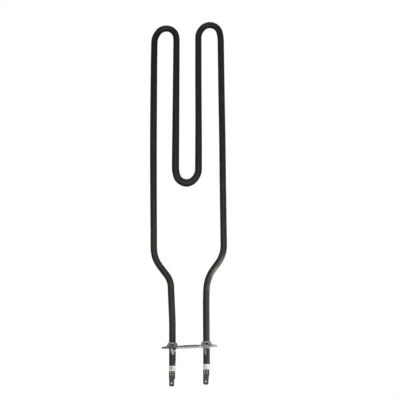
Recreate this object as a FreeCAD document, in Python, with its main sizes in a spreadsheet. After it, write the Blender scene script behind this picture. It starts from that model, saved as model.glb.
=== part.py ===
import FreeCAD, Part
import math
import os
import Sketcher

# Tubular heating element: one metal tube bent into two tall hairpins with a centre bend between them,
# drawn in through a neck to two straight tails that pass through a small mounting plate.
# Millimetres. The tube lies in the XZ plane and the loops point up.
# The origin is the middle of the plate's lower face, the face that rests on the wall of the duct.

SIZES = [
    ("sheath_diameter", 8.5, "outside of the tube"),
    ("sheath_wall", 0.7, "wall of the tube"),
    ("sheath_end_rounding", 0.35, "rim of the tube at its cut ends"),
    ("tail_pitch", 42.5, "between the axes of the two straight tails"),
    ("left_tail_drop", 22.8, "end of the left tail below the origin"),
    ("right_tail_drop", 20.9, "end of the right tail below the origin"),
    ("loop_radius", 13.2, "centre-line radius of the three 180 degree bends, made on one former"),
    ("centre_bend_x", -2.76, "centre of the middle bend"),
    ("centre_bend_height", 223.7, "centre of the middle bend"),
    ("left_loop_height", 405.75, "centre of the left crown"),
    ("right_loop_height", 410.1, "centre of the right crown"),
    ("left_outer_spread", 2.78, "how much wider the outer left leg stands than the left crown"),
    ("left_outer_shoulder", 25, "radius of the shoulder that leads from that leg to the crown"),
    ("left_inner_spread", 0.22, "the same for the inner left leg"),
    ("left_inner_shoulder", 66, "its shoulder"),
    ("centre_left_spread", 0.99, "the same for the left side of the middle bend"),
    ("centre_left_shoulder", 39.6, "its shoulder"),
    ("centre_right_spread", 2.01, "the same for the right side of the middle bend"),
    ("centre_right_shoulder", 19.6, "its shoulder"),
    ("right_inner_spread", 1.93, "the same for the inner right leg"),
    ("right_inner_shoulder", 17.9, "its shoulder"),
    ("right_outer_spread", 1.07, "the same for the outer right leg"),
    ("right_outer_shoulder", 50, "its shoulder"),
    ("shoulder_run", 1.5, "straight run between a shoulder and its crown"),
    ("left_closing", 1.6, "how far the left hairpin leans in at its crown"),
    ("right_opening", 0.95, "how far the right hairpin leans out at its crown"),
    ("left_flare", 0.35, "outer left leg at the neck, outside its place at the crown"),
    ("right_flare", 1.3, "outer right leg at the neck, outside its place at the crown"),
    ("left_low_height", 75.8, "centre of the lower left neck bend"),
    ("left_low_radius", 25.5, "lower left neck bend, the tightest of the four"),
    ("left_high_radius", 46.6, "upper left neck bend"),
    ("left_slant", 37.05, "degrees by which the left leg slants between its two neck bends"),
    ("right_low_height", 69.6, "centre of the lower right neck bend"),
    ("right_low_radius", 48.4, "lower right neck bend"),
    ("right_high_radius", 39.25, "upper right neck bend"),
    ("right_slant", 36.8, "degrees by which the right leg slants between its two neck bends"),
    ("left_bow_start", 26.2, "height where the left tail starts to bow outwards"),
    ("left_bow_radius", 300, "radius of that bow"),
    ("left_bow_shift", 1.85, "how far the bow carries the tail outwards"),
    ("plate_length", 69.6, "tip to tip"),
    ("plate_width", 27, "front to back"),
    ("plate_thickness", 1.5, "sheet of the plate"),
    ("plate_tilt", 1.9, "degrees by which the right end stands higher"),
    ("collar_height", 4.85, "drawn collar above the sheet"),
    ("collar_lip_wall", 1.0, "sheet left round the bore at the lip"),
    ("collar_spread", 2.1, "how much wider the collar is at its foot than at its lip"),
    ("collar_land", 2.4, "straight bore that grips the tube below the lip"),
    ("collar_mouth_spread", 2.0, "how much wider the hollow is at the lower face than at the land"),
    ("collar_foot_rounding", 1.5, "fillet between the collar and the sheet"),
    ("stake_width", 4.0, "punch mark in the collar, front and back"),
    ("stake_height", 2.0, "punch mark in the collar"),
    ("stake_drop", 3.5, "centre of the punch mark below the lip"),
    ("stake_wall", 0.45, "metal left between the punch mark and the bore"),
    ("grip_clearance", 0.05, "between the collar's bore and the tube"),
    ("screw_x", -4, "centre of the fixing hole"),
    ("screw_radius", 1.65, "core of the fixing thread"),
    ("screw_rim_height", 1.4, "drawn rim of the fixing hole above the sheet"),
    ("screw_rim_radius", 2.9, "foot of the drawn rim, at the lower face"),
    ("screw_rim_taper", 20, "degrees by which the drawn rim narrows upwards"),
    ("bush_inset", 0.05, "how much narrower the bush is than the tube"),
    ("bush_exposed", 6.55, "height of the bush that shows"),
    ("bush_edge", 0.45, "bevel on the bush's rims"),
    ("bush_shank", 6, "part of the bush inside the tube"),
    ("bush_fit", 0.1, "clearance of the shank in the tube's bore"),
    ("bush_pin_fit", 0.15, "clearance of the pin in the bush"),
    ("seal_length", 6, "moisture seal above the bush"),
    ("packing_gap", 0.05, "clearance between packed pieces inside the tube"),
    ("pin_radius", 1.25, "cold pin"),
    ("pin_behind_tab", 8.4, "pin below the bush, behind the tab's head"),
    ("pin_flat", 0.75, "the pin's welded flat, in front of its axis"),
    ("pin_point", 0.3, "bevel on the pin's ends"),
    ("coil_start", 25, "height where the winding starts, above the plate"),
    ("coil_wire", 0.45, "thickness of the wound wire"),
    ("tab_thickness", 0.8, "sheet of the tab"),
    ("tab_gap", 0.2, "between the bush and the tab"),
    ("head_width", 7.9, "welding head of the tab"),
    ("head_length", 10, "welding head of the tab"),
    ("head_offset", -0.5, "middle of the head from the tube's axis"),
    ("head_corner", 0.7, "bevel on the head's upper corners"),
    ("blade_width", 6.3, "blade of the tab"),
    ("blade_length", 8.6, "blade of the tab"),
    ("blade_offset", -1.0, "middle of the blade from the tube's axis"),
    ("blade_corner", 1.0, "bevel at the corners of the blade's tip"),
    ("blade_lead", 0.25, "bevel on the faces at the blade's tip"),
    ("left_tab_step", 0.9, "height of the slanted step from head to blade"),
    ("right_tab_step", 4.2, "the same, on a tab that narrows more slowly"),
    ("tab_hole_radius", 1.0, "latch hole of the blade"),
    ("tab_hole_from_tip", 4.0, "latch hole of the blade"),
    ("weld_radius", 0.65, "spot weld in the head"),
    ("weld_depth", 0.25, "spot weld in the head"),
    ("weld_left", -2.4, "left column of welds from the tube's axis"),
    ("weld_pitch_x", 3.0, "between the two columns"),
    ("weld_drop", 1.5, "upper row of welds below the head's edge"),
    ("weld_pitch_z", 2.8, "between the two rows"),
]

document = FreeCAD.newDocument("HeatingElement")
sheet = document.addObject("Spreadsheet::Sheet", "Sizes")
for row, (alias, number, note) in enumerate(SIZES, start=1):
    sheet.set(f"A{row}", alias)
    sheet.set(f"B{row}", str(number))
    sheet.set(f"C{row}", note)
    sheet.setAlias(f"B{row}", alias)
document.recompute()

LEFT, RIGHT = -1, 1


def value(expression):
    """The number that an expression on the sheet has now."""
    result = sheet.evalExpression(expression)
    return float(getattr(result, "Value", result))


def new_body(label):
    body = document.addObject("PartDesign::Body", label)
    body.Label = label
    return body


def new_sketch(body, name, role):
    """A sketch on one of the body's own origin planes."""
    planes = {feature.Role: feature for feature in body.Origin.OriginFeatures}
    sketch = body.newObject("Sketcher::SketchObject", name)
    sketch.AttachmentSupport = [(planes[role], "")]
    sketch.MapMode = "FlatFace"
    return sketch


def shift(thing, **axes):
    """Bind the offset of a sketch, or the place of a body, to the sheet."""
    stem = ".AttachmentOffset" if thing.isDerivedFrom("Sketcher::SketchObject") else ".Placement"
    for axis, expression in axes.items():
        thing.setExpression(f"{stem}.Base.{axis}", expression)


def bind(sketch, kind, *where, size):
    """Add one dimension to a sketch and tie it to the sheet."""
    index = sketch.addConstraint(Sketcher.Constraint(kind, *where, value(size)))
    name = f"size_{index}"
    sketch.renameConstraint(index, name)
    sketch.setExpression(f"Constraints.{name}", size)


def bind_point(sketch, geometry, end, x, y):
    bind(sketch, "DistanceX", -1, 1, geometry, end, size=x)
    bind(sketch, "DistanceY", -1, 1, geometry, end, size=y)


def outline(sketch, corners):
    """A closed outline of straight edges through corners given as pairs of expressions."""
    points = [FreeCAD.Vector(value(x), value(y), 0) for x, y in corners]
    count = len(points)
    for index in range(count):
        sketch.addGeometry(Part.LineSegment(points[index], points[(index + 1) % count]), False)
    for index, (x, y) in enumerate(corners):
        following = (index + 1) % count
        sketch.addConstraint(Sketcher.Constraint("Coincident", index, 2, following, 1))
        bind_point(sketch, index, 1, x, y)


def circle(sketch, x, y, radius):
    middle = FreeCAD.Vector(value(x), value(y), 0)
    ring = sketch.addGeometry(Part.Circle(middle, FreeCAD.Vector(0, 0, 1), value(radius)), False)
    bind_point(sketch, ring, 3, x, y)
    bind(sketch, "Radius", ring, size=radius)


def add_pad(body, sketch, length):
    pad = body.newObject("PartDesign::Pad", f"{sketch.Name}_pad")
    pad.Profile = sketch
    pad.setExpression("Length", length)
    return pad


def add_pocket(body, sketch, length, towards_normal=False):
    """Cut a sketch's outline into the body, against the sketch's normal or towards it."""
    pocket = body.newObject("PartDesign::Pocket", f"{sketch.Name}_pocket")
    pocket.Profile = sketch
    pocket.Reversed = towards_normal
    pocket.setExpression("Length", length)
    return pocket


def dress_edges(body, kind, size, wanted):
    """Fillet or chamfer the edges of the body's last feature whose middle point passes a test."""
    document.recompute()
    base = body.Tip
    names = []
    for number, edge in enumerate(base.Shape.Edges, start=1):
        middle = edge.valueAt((edge.FirstParameter + edge.LastParameter) / 2)
        if wanted(edge, middle):
            names.append(f"Edge{number}")
    dressed = body.newObject(f"PartDesign::{kind}", f"{base.Name}_{kind.lower()}")
    dressed.Base = (base, names)
    dressed.setExpression("Radius" if kind == "Fillet" else "Size", size)
    return dressed


def add_turned(body, sketch, kind="PartDesign::Revolution"):
    """Revolve, or groove, a half section about the sketch's own upright axis."""
    turned = body.newObject(kind, f"{sketch.Name}_turned")
    turned.Profile = sketch
    turned.ReferenceAxis = (sketch, ["V_Axis"])
    turned.Angle = 360
    return turned


# The bent tube
# The tube is bent round formers. Each former has a centre, a centre-line radius and the way the tube
# turns round it on the way from the left tail to the right one: 1 is to the left, -1 to the right.
# The legs stand a little wider than the 180 degree bends, so each comes to its bend over a wide shoulder.

LEFT_LOOP_X = (
    "Sizes.centre_bend_x - 2 * Sizes.loop_radius"
    " - Sizes.centre_left_spread - Sizes.left_inner_spread + Sizes.left_closing"
)
RIGHT_LOOP_X = (
    "Sizes.centre_bend_x + 2 * Sizes.loop_radius"
    " + Sizes.centre_right_spread + Sizes.right_inner_spread + Sizes.right_opening"
)
LEFT_LEG_X = f"{LEFT_LOOP_X} - Sizes.loop_radius - Sizes.left_outer_spread - Sizes.left_flare"
RIGHT_LEG_X = f"{RIGHT_LOOP_X} + Sizes.loop_radius + Sizes.right_outer_spread + Sizes.right_flare"
LEFT_TAIL_X = "-Sizes.tail_pitch / 2"
RIGHT_TAIL_X = "Sizes.tail_pitch / 2"
BOWED_TAIL_X = f"{LEFT_TAIL_X} - Sizes.left_bow_shift"


def high_height(side, offset):
    """Centre height of an upper neck bend, which the slant and the sideways offset of the leg set."""
    radii = f"(Sizes.{side}_low_radius + Sizes.{side}_high_radius)"
    slant = f"Sizes.{side}_slant"
    straight_offset = f"({offset} - {radii} * (1 - cos({slant})))"
    return f"Sizes.{side}_low_height + {radii} * sin({slant}) + {straight_offset} / tan({slant})"


LEFT_HIGH_HEIGHT = high_height("left", f"{BOWED_TAIL_X} - ({LEFT_LEG_X})")
RIGHT_HIGH_HEIGHT = high_height("right", f"{RIGHT_LEG_X} - ({RIGHT_TAIL_X})")


def shoulder(x, height, side, place, opens):
    """The former between a leg and its 180 degree bend, which opens down (-1) or up (1)."""
    spread, radius = f"Sizes.{place}_spread", f"Sizes.{place}_shoulder"
    excess = f"({radius} - Sizes.loop_radius)"
    centre_x = f"{x} - ({side}) * ({excess} - {spread})"
    rise = f"sqrt(pow({excess}; 2) + pow(Sizes.shoulder_run; 2) - pow({excess} - {spread}; 2))"
    return centre_x, f"{height} + ({opens}) * {rise}", radius, opens


def hairpin(x, height, left_place, right_place, opens):
    """A 180 degree bend with its two shoulders, as three formers from left to right."""
    return [
        shoulder(x, height, LEFT, left_place, opens),
        (x, height, "Sizes.loop_radius", opens),
        shoulder(x, height, RIGHT, right_place, opens),
    ]


FORMERS = [
    (f"{LEFT_TAIL_X} - Sizes.left_bow_radius", "Sizes.left_bow_start", "Sizes.left_bow_radius", 1),
    (f"{BOWED_TAIL_X} - Sizes.left_low_radius", "Sizes.left_low_height", "Sizes.left_low_radius", 1),
    (f"{LEFT_LEG_X} + Sizes.left_high_radius", LEFT_HIGH_HEIGHT, "Sizes.left_high_radius", -1),
    *hairpin(LEFT_LOOP_X, "Sizes.left_loop_height", "left_outer", "left_inner", -1),
    *hairpin("Sizes.centre_bend_x", "Sizes.centre_bend_height", "centre_left", "centre_right", 1),
    *hairpin(RIGHT_LOOP_X, "Sizes.right_loop_height", "right_inner", "right_outer", -1),
    (f"{RIGHT_LEG_X} - Sizes.right_high_radius", RIGHT_HIGH_HEIGHT, "Sizes.right_high_radius", -1),
    (f"{RIGHT_TAIL_X} + Sizes.right_low_radius", "Sizes.right_low_height", "Sizes.right_low_radius", 1),
]


def tangent_points(first, second):
    """Where the straight run between two formers leaves the first and meets the second."""
    (centre_a, radius_a, turn_a), (centre_b, radius_b, turn_b) = first, second
    span = centre_b - centre_a
    swing = math.asin((turn_b * radius_b - turn_a * radius_a) / span.Length)
    heading = math.atan2(span.y, span.x) - swing
    left_hand = FreeCAD.Vector(-math.sin(heading), math.cos(heading), 0)
    return centre_a - left_hand * turn_a * radius_a, centre_b - left_hand * turn_b * radius_b


def add_route(body, name, left_end, right_end):
    """The centre line of the tube, from a height in the left tail to a height in the right one."""
    sketch = new_sketch(body, name, "XZ_Plane")
    formers = [
        (FreeCAD.Vector(value(x), value(height), 0), value(radius), turn)
        for x, height, radius, turn in FORMERS
    ]
    start = FreeCAD.Vector(value(LEFT_TAIL_X), value(left_end), 0)
    end = FreeCAD.Vector(value(RIGHT_TAIL_X), value(right_end), 0)
    meets = [FreeCAD.Vector(value(LEFT_TAIL_X), value("Sizes.left_bow_start"), 0)]
    leaves = []
    for first, second in zip(formers, formers[1:]):
        leaving, meeting = tangent_points(first, second)
        leaves.append(leaving)
        meets.append(meeting)
    leaves.append(FreeCAD.Vector(value(RIGHT_TAIL_X), value("Sizes.right_low_height"), 0))
    meets.append(end)

    run = sketch.addGeometry(Part.LineSegment(start, meets[0]), False)
    bind(sketch, "DistanceY", -1, 1, run, 1, size=left_end)
    sketch.addConstraint(Sketcher.Constraint("Vertical", run))
    for index, (centre, radius, turn) in enumerate(formers):
        ends = [meets[index], leaves[index]][::turn]
        angles = [math.atan2(point.y - centre.y, point.x - centre.x) for point in ends]
        if angles[1] < angles[0]:
            angles[1] += 2 * math.pi
        full = Part.Circle(centre, FreeCAD.Vector(0, 0, 1), radius)
        bend = sketch.addGeometry(Part.ArcOfCircle(full, *angles), False)
        straight = Part.LineSegment(leaves[index], meets[index + 1])
        next_run = sketch.addGeometry(straight, False)
        arrives, departs = (1, 2) if turn == 1 else (2, 1)
        sketch.addConstraint(Sketcher.Constraint("Tangent", run, 2, bend, arrives))
        sketch.addConstraint(Sketcher.Constraint("Tangent", bend, departs, next_run, 1))
        x, height, size, _ = FORMERS[index]
        bind_point(sketch, bend, 3, x, height)
        bind(sketch, "Radius", bend, size=size)
        run = next_run
    sketch.addConstraint(Sketcher.Constraint("Vertical", run))
    bind(sketch, "DistanceY", -1, 1, run, 2, size=right_end)
    return sketch


def add_pipe(body, name, left_end, right_end, radii):
    """Sweep a disc, or a ring where two radii are given, along the tube's centre line."""
    route = add_route(body, f"{name}_route", left_end, right_end)
    section = new_sketch(body, f"{name}_section", "XY_Plane")
    shift(section, z=left_end)
    for radius in radii:
        circle(section, LEFT_TAIL_X, "0", radius)
    pipe = body.newObject("PartDesign::AdditivePipe", f"{name}_pipe")
    pipe.Profile = section
    pipe.Spine = (route, [])
    return pipe


LEFT_TAIL_END = "-Sizes.left_tail_drop"
RIGHT_TAIL_END = "-Sizes.right_tail_drop"
SHEATH_RADIUS = "Sizes.sheath_diameter / 2"
BORE_RADIUS = "Sizes.sheath_diameter / 2 - Sizes.sheath_wall"
PACKED_RADIUS = f"{BORE_RADIUS} - Sizes.packing_gap"
COIL_RADIUS = "(Sizes.pin_radius + Sizes.coil_wire)"
CORE_RADIUS = f"({COIL_RADIUS} + Sizes.packing_gap)"
PLUG_DEPTH = "(Sizes.bush_shank + Sizes.seal_length + 2 * Sizes.packing_gap)"


def make_sheath():
    """The metal tube, open at both tails."""
    body = new_body("sheath")
    add_pipe(body, "sheath", LEFT_TAIL_END, RIGHT_TAIL_END, [SHEATH_RADIUS, BORE_RADIUS])
    ends = (value(LEFT_TAIL_END), value(RIGHT_TAIL_END))

    def is_cut_rim(edge, middle):
        at_end = any(abs(edge.BoundBox.ZMin - end) + abs(edge.BoundBox.ZMax - end) < 0.001 for end in ends)
        return at_end and edge.BoundBox.XLength > value("Sizes.sheath_diameter - Sizes.sheath_wall")

    dress_edges(body, "Fillet", "Sizes.sheath_end_rounding", is_cut_rim)
    return body


def make_coil():
    """The winding with the powder inside it, as a rod between the ends of the two pins."""
    body = new_body("resistance_coil")
    add_pipe(body, "coil", "Sizes.coil_start", "Sizes.coil_start", [COIL_RADIUS])
    return body


def make_powder():
    """The packed powder, a sleeve between the tube and the rod of the winding and the pins."""
    body = new_body("insulating_powder")
    left_end = f"{LEFT_TAIL_END} + {PLUG_DEPTH}"
    right_end = f"{RIGHT_TAIL_END} + {PLUG_DEPTH}"
    add_pipe(body, "powder", left_end, right_end, [PACKED_RADIUS, CORE_RADIUS])
    return body


# The pieces at the end of each tail
# Each is drawn about the tail's axis with the end of the tube at height 0.

def place_on_tail(body, side):
    tail_x = LEFT_TAIL_X if side == LEFT else RIGHT_TAIL_X
    tail_end = LEFT_TAIL_END if side == LEFT else RIGHT_TAIL_END
    shift(body, x=tail_x, z=tail_end)


def make_bush(label, side):
    """Ceramic bush: a flange of the tube's width and a shank that sits in the tube."""
    body = new_body(label)
    section = new_sketch(body, f"{label}_section", "XZ_Plane")
    flange = f"({SHEATH_RADIUS} - Sizes.bush_inset)"
    edge, exposed = "Sizes.bush_edge", "Sizes.bush_exposed"
    bore = "Sizes.pin_radius + Sizes.bush_pin_fit"
    shank = f"{BORE_RADIUS} - Sizes.bush_fit"
    outline(section, [
        (bore, f"-{exposed}"),
        (f"{flange} - {edge}", f"-{exposed}"),
        (flange, f"-{exposed} + {edge}"),
        (flange, f"-{edge} / 2"),
        (f"{flange} - {edge} / 2", "0"),
        (shank, "0"),
        (shank, f"Sizes.bush_shank - {edge}"),
        (f"{shank} - {edge}", "Sizes.bush_shank"),
        (bore, "Sizes.bush_shank"),
    ])
    add_turned(body, section)
    place_on_tail(body, side)
    return body


def make_seal(label, side):
    """Moisture seal between the bush and the powder."""
    body = new_body(label)
    section = new_sketch(body, f"{label}_section", "XZ_Plane")
    start = "Sizes.bush_shank + Sizes.packing_gap"
    hole = "Sizes.pin_radius + Sizes.packing_gap"
    outline(section, [
        (hole, start),
        (PACKED_RADIUS, start),
        (PACKED_RADIUS, f"{start} + Sizes.seal_length"),
        (hole, f"{start} + Sizes.seal_length"),
    ])
    add_turned(body, section)
    place_on_tail(body, side)
    return body


def make_pin(label, side):
    """Cold pin from behind the tab to the start of the winding, with a flat for the weld."""
    body = new_body(label)
    section = new_sketch(body, f"{label}_section", "XZ_Plane")
    radius, point = "Sizes.pin_radius", "Sizes.pin_point"
    tail_end = LEFT_TAIL_END if side == LEFT else RIGHT_TAIL_END
    low = "-(Sizes.bush_exposed + Sizes.pin_behind_tab)"
    high = f"Sizes.coil_start - ({tail_end})"
    outline(section, [
        ("0", low),
        (f"{radius} - {point}", low),
        (radius, f"{low} + {point}"),
        (radius, f"{high} - {point}"),
        (f"{radius} - {point}", high),
        ("0", high),
    ])
    add_turned(body, section)
    flat = new_sketch(body, f"{label}_flat", "XZ_Plane")
    shift(flat, z="Sizes.pin_flat")
    below_bush = "-(Sizes.bush_exposed + Sizes.tab_gap)"
    outline(flat, [
        (f"-2 * {radius}", f"{low} - {radius}"),
        (f"2 * {radius}", f"{low} - {radius}"),
        (f"2 * {radius}", below_bush),
        (f"-2 * {radius}", below_bush),
    ])
    add_pocket(body, flat, radius, towards_normal=True)
    place_on_tail(body, side)
    return body


def make_tab(label, side):
    """Tab terminal: a head that is spot-welded to the pin, and a blade with a latch hole."""
    body = new_body(label)
    blank = new_sketch(body, f"{label}_blank", "XZ_Plane")
    shift(blank, z="Sizes.pin_flat")
    top = "-(Sizes.bush_exposed + Sizes.tab_gap)"
    shoulder = f"({top} - Sizes.head_length)"
    tip = f"({shoulder} - Sizes.blade_length)"
    head_left = "(Sizes.head_offset - Sizes.head_width / 2)"
    head_right = "(Sizes.head_offset + Sizes.head_width / 2)"
    blade_left = "(Sizes.blade_offset - Sizes.blade_width / 2)"
    blade_right = "(Sizes.blade_offset + Sizes.blade_width / 2)"
    corner, bevel = "Sizes.head_corner", "Sizes.blade_corner"
    step = "Sizes.left_tab_step" if side == LEFT else "Sizes.right_tab_step"
    outline(blank, [
        (f"{head_left} + {corner}", top),
        (f"{head_right} - {corner}", top),
        (head_right, f"{top} - {corner}"),
        (head_right, f"{shoulder} + {step}"),
        (blade_right, shoulder),
        (blade_right, f"{tip} + {bevel}"),
        (f"{blade_right} - {bevel}", tip),
        (f"{blade_left} + {bevel}", tip),
        (blade_left, f"{tip} + {bevel}"),
        (blade_left, shoulder),
        (head_left, f"{shoulder} + {step}"),
        (head_left, f"{top} - {corner}"),
    ])
    circle(blank, "Sizes.blade_offset", f"{tip} + Sizes.tab_hole_from_tip", "Sizes.tab_hole_radius")
    add_pad(body, blank, "Sizes.tab_thickness")

    def is_tip_edge(edge, middle):
        return abs(middle.z - value(tip)) < 0.001 and edge.BoundBox.XLength > value(bevel)

    dress_edges(body, "Chamfer", "Sizes.blade_lead", is_tip_edge)
    welds = new_sketch(body, f"{label}_welds", "XZ_Plane")
    shift(welds, z="Sizes.pin_flat + Sizes.tab_thickness")
    for column in range(2):
        for line in range(2):
            x = f"Sizes.weld_left + {column} * Sizes.weld_pitch_x"
            height = f"{top} - Sizes.weld_drop - {line} * Sizes.weld_pitch_z"
            circle(welds, x, height, "Sizes.weld_radius")
    add_pocket(body, welds, "Sizes.weld_depth")
    place_on_tail(body, side)
    return body


# The mounting plate
# The sheet is tilted about the front-to-back axis. The collars are drawn up from it along the tails.

GRIP_RADIUS = f"({SHEATH_RADIUS} + Sizes.grip_clearance)"
LIP_RADIUS = f"({GRIP_RADIUS} + Sizes.collar_lip_wall)"
FOOT_RADIUS = f"({LIP_RADIUS} + Sizes.collar_spread)"
MOUTH_RADIUS = f"({GRIP_RADIUS} + Sizes.collar_mouth_spread)"


def sheet_top(x):
    """Height of the sheet's upper face at a place along the plate."""
    return f"(({x}) * tan(Sizes.plate_tilt) + Sizes.plate_thickness / cos(Sizes.plate_tilt))"


def tilt(sketch):
    sketch.AttachmentOffset = FreeCAD.Placement(
        FreeCAD.Vector(), FreeCAD.Rotation(FreeCAD.Vector(0, 1, 0), -value("Sizes.plate_tilt")))
    sketch.setExpression(".AttachmentOffset.Rotation.Angle", "-Sizes.plate_tilt")


def add_obround(sketch, length, width, x="0", y="0"):
    """Two straight edges joined by two half-round ends, about a middle at x, y."""
    half, radius = value(f"({length} - {width}) / 2"), value(f"{width} / 2")
    middle = FreeCAD.Vector(value(x), value(y), 0)
    upright = FreeCAD.Vector(0, 0, 1)
    for side in (LEFT, RIGHT):
        full = Part.Circle(middle + FreeCAD.Vector(side * half, 0, 0), upright, radius)
        start = -side * math.pi / 2
        end = sketch.addGeometry(Part.ArcOfCircle(full, start, start + math.pi), False)
        bind_point(sketch, end, 3, f"{x} + ({side}) * ({length} - {width}) / 2", y)
        bind(sketch, "Radius", end, size=f"{width} / 2")
    for side in (LEFT, RIGHT):
        ends = [middle + FreeCAD.Vector(end_x, side * radius, 0) for end_x in (-half, half)]
        line = sketch.addGeometry(Part.LineSegment(*ends), False)
        left_end, right_end = (2, 1) if side == LEFT else (1, 2)
        sketch.addConstraint(Sketcher.Constraint("Tangent", 0, left_end, line, 1))
        sketch.addConstraint(Sketcher.Constraint("Tangent", 1, right_end, line, 2))


def add_collar(body, name, x):
    """A cone drawn up from the sheet, narrowed to a land that grips the tube."""
    foot = f"{sheet_top(x)} - Sizes.plate_thickness / 2"
    lip = f"{sheet_top(x)} + Sizes.collar_height"
    cone = new_sketch(body, f"{name}_cone", "XZ_Plane")
    shift(cone, x=x)
    outline(cone, [
        ("0", foot),
        (FOOT_RADIUS, foot),
        (LIP_RADIUS, lip),
        ("0", lip),
    ])
    add_turned(body, cone)
    return lip


def add_collar_bore(body, name, x, lip):
    """The hollow under the cone, which narrows to the land."""
    sheet_bottom = f"({x}) * tan(Sizes.plate_tilt)"
    below = f"{sheet_bottom} - Sizes.plate_thickness"
    hollow = new_sketch(body, f"{name}_hollow", "XZ_Plane")
    shift(hollow, x=x)
    outline(hollow, [
        ("0", below),
        (MOUTH_RADIUS, below),
        (MOUTH_RADIUS, sheet_bottom),
        (GRIP_RADIUS, f"{lip} - Sizes.collar_land"),
        (GRIP_RADIUS, f"{lip} + Sizes.plate_thickness"),
        ("0", f"{lip} + Sizes.plate_thickness"),
    ])
    add_turned(body, hollow, "PartDesign::Groove")


def add_stakes(body, name, x, lip):
    """Punch marks that lock the collar on the tube, one in front and one behind."""
    for face, sign in (("front", "1"), ("back", "-1")):
        mark = new_sketch(body, f"{name}_{face}_stake", "XZ_Plane")
        shift(mark, z=f"{sign} * ({GRIP_RADIUS} + Sizes.stake_wall)")
        add_obround(mark, "Sizes.stake_width", "Sizes.stake_height", x, f"{lip} - Sizes.stake_drop")
        add_pocket(body, mark, FOOT_RADIUS, towards_normal=face == "front")


def make_plate():
    body = new_body("mounting_plate")
    blank = new_sketch(body, "plate_blank", "XY_Plane")
    tilt(blank)
    add_obround(blank, "Sizes.plate_length", "Sizes.plate_width")
    add_pad(body, blank, "Sizes.plate_thickness")

    rim = new_sketch(body, "screw_rim", "XY_Plane")
    tilt(rim)
    circle(rim, "Sizes.screw_x", "0", "Sizes.screw_rim_radius")
    drawn = add_pad(body, rim, "Sizes.plate_thickness + Sizes.screw_rim_height")
    drawn.setExpression("TaperAngle", "-Sizes.screw_rim_taper")

    tails = (("left", LEFT_TAIL_X), ("right", RIGHT_TAIL_X))
    lips = [add_collar(body, name, x) for name, x in tails]

    def is_collar_foot(edge, middle):
        tail = min((value(x) for _, x in tails), key=lambda place: abs(middle.x - place))
        reach = math.hypot(middle.x - tail, middle.y)
        above = middle.z - value(sheet_top(str(middle.x)))
        around_collar = value(LIP_RADIUS) < reach < value(FOOT_RADIUS)
        return around_collar and abs(above) < 0.01

    dress_edges(body, "Fillet", "Sizes.collar_foot_rounding", is_collar_foot)
    for (name, x), lip in zip(tails, lips):
        add_collar_bore(body, name, x, lip)
        add_stakes(body, name, x, lip)

    screw = new_sketch(body, "screw_hole", "XY_Plane")
    tilt(screw)
    circle(screw, "Sizes.screw_x", "0", "Sizes.screw_radius")
    add_pocket(body, screw, "Sizes.plate_thickness + Sizes.screw_rim_height", towards_normal=True)
    return body


pieces = [make_sheath(), make_powder(), make_coil(), make_plate()]
for prefix, side in (("left", LEFT), ("right", RIGHT)):
    pieces.append(make_bush(f"{prefix}_insulator", side))
    pieces.append(make_seal(f"{prefix}_seal", side))
    pieces.append(make_pin(f"{prefix}_cold_pin", side))
    pieces.append(make_tab(f"{prefix}_tab_terminal", side))
document.recompute()

for thing in document.Objects:
    faults = {"Invalid", "Error"} & set(thing.State)
    if faults:
        raise RuntimeError(f"{thing.Label} is {', '.join(sorted(faults))}")
for piece in pieces:
    if piece.Shape.isNull() or not piece.Shape.isValid():
        raise RuntimeError(f"{piece.Label} has no valid shape")

os.makedirs("parts", exist_ok=True)
for piece in pieces:
    piece.Shape.exportStep(f"parts/{piece.Label}.step")
    box = piece.Shape.BoundBox
    print(f"{piece.Label}: {len(piece.Shape.Solids)} solid, {piece.Shape.Volume:.0f} mm3, "
          f"x {box.XMin:.1f} to {box.XMax:.1f}, z {box.ZMin:.1f} to {box.ZMax:.1f}")
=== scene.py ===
# %% [markdown]
# # A tubular heating element, finished in Blender
#
# The element is one dark steel tube bent into two tall hairpins, with a thin bright plate across its
# tails, a ceramic bush and a flat tab terminal at the end of each. The construction model brings every
# form at its real size. This lesson gives those forms their surfaces, and makes anew the pieces whose
# small marks only show on a finer mesh.

# %% The frame
import math
import bmesh
import bpy
from mathutils import Matrix, Vector


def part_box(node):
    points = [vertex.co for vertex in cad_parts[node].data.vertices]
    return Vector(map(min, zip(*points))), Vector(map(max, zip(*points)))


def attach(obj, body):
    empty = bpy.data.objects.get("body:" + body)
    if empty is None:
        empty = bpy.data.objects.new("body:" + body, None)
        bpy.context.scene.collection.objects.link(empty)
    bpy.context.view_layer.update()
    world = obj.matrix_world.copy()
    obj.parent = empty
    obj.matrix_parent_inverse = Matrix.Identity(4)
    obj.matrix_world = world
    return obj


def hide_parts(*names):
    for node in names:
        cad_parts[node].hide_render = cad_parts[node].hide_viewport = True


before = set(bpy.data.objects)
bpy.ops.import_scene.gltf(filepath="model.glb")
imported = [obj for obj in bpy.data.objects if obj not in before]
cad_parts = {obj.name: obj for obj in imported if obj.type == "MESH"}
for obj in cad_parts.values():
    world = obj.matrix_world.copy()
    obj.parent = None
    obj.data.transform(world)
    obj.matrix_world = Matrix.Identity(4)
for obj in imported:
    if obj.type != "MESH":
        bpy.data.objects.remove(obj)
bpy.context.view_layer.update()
MM = 0.001
print("pieces of the frame:", sorted(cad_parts))

# %% [markdown]
# ## The camera
#
# The element stands in front of a camera that is a long way off, a little below the tabs, and looks up at
# it. So the plate shows its lower face as a thin pale line, and the loops look narrower than the tails. A
# long lens keeps that effect small. The camera could be turned by three angles, but two vectors are
# easier to check: where it looks, and which way is up. The second leans a third of a degree, as the
# element does in the picture.

# %% Camera
CAMERA_PLACE = Vector((14.3, -1566.8, -136.0)) * MM
CAMERA_PITCH = math.radians(11.685)
CAMERA_ROLL = math.radians(0.34)
FOCAL_IN_PIXELS = 1250
FRAME_PIXELS = 400
SENSOR = 36.0

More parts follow.
